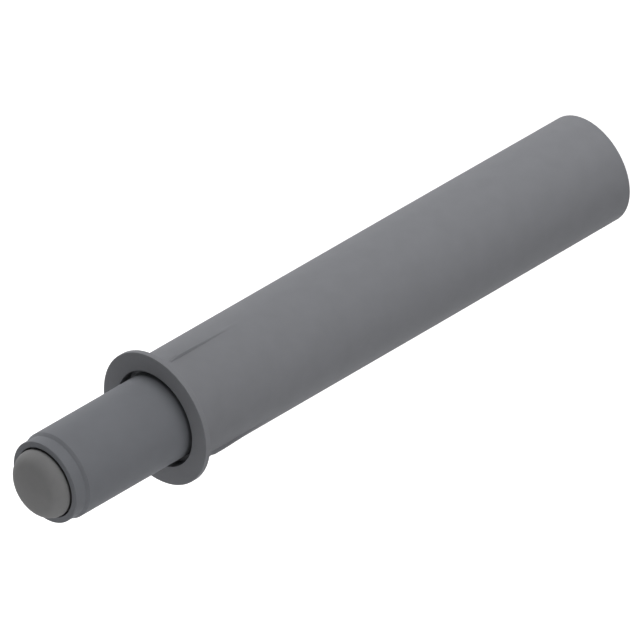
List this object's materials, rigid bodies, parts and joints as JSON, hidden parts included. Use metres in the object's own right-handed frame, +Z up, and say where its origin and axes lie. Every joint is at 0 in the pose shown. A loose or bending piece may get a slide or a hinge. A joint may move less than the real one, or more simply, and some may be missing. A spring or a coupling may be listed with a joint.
{
  "type": "soft close damper",
  "caption": "Press-in soft close damper: a flanged round barrel with crush ribs and a sprung, oil-damped plunger with a domed rubber pad.",
  "frame": {"origin": "on the damper's axis, in the plane of the flange's back face, which seats on the panel", "axes": "+X along the axis into the drilled hole, from the flange to the barrel's closed end; +Z up, through one of the three crush ribs; the plunger stands out to -X"},
  "size_m": [0.0649, 0.012, 0.012],
  "materials": {
    "housing_plastic": "fine moulded satin grey",
    "plunger_plastic": "smooth moulded satin grey",
    "pad_rubber": "soft matt rubber",
    "rod_steel": "ground",
    "spring_steel": "drawn wire",
    "white_plastic": "natural acetal",
    "dark_plastic": "black acetal",
    "seal_rubber": "nitrile",
    "foam": "closed-cell foam"
  },
  "bodies": {
    "housing": {"housing": "housing_plastic", "rod_foot": "white_plastic", "piston_rod": "rod_steel", "piston": "white_plastic", "spring_seat": "white_plastic", "return_spring": "spring_steel"},
    "plunger": {"plunger_cylinder": "plunger_plastic", "buffer_pad": "pad_rubber", "spacer_disc": "white_plastic", "foam_sleeve": "foam", "rod_seal": "seal_rubber", "seal_backing": "dark_plastic", "rod_guide": "white_plastic", "end_cap": "dark_plastic"},
    "valve": {"valve_ring": "dark_plastic"}
  },
  "joints": [
    {"name": "plunger_slide", "type": "slide", "parent": "housing", "child": "plunger", "axis": [1, 0, 0], "range_m": [0, 0.0125], "stiffness_N_per_m": 100, "springref_m": -0.008, "deforming": ["return_spring"]},
    {"name": "valve_slide", "type": "slide", "parent": "housing", "child": "valve", "axis": [1, 0, 0], "range_m": [0, 0.0003]}
  ]
}
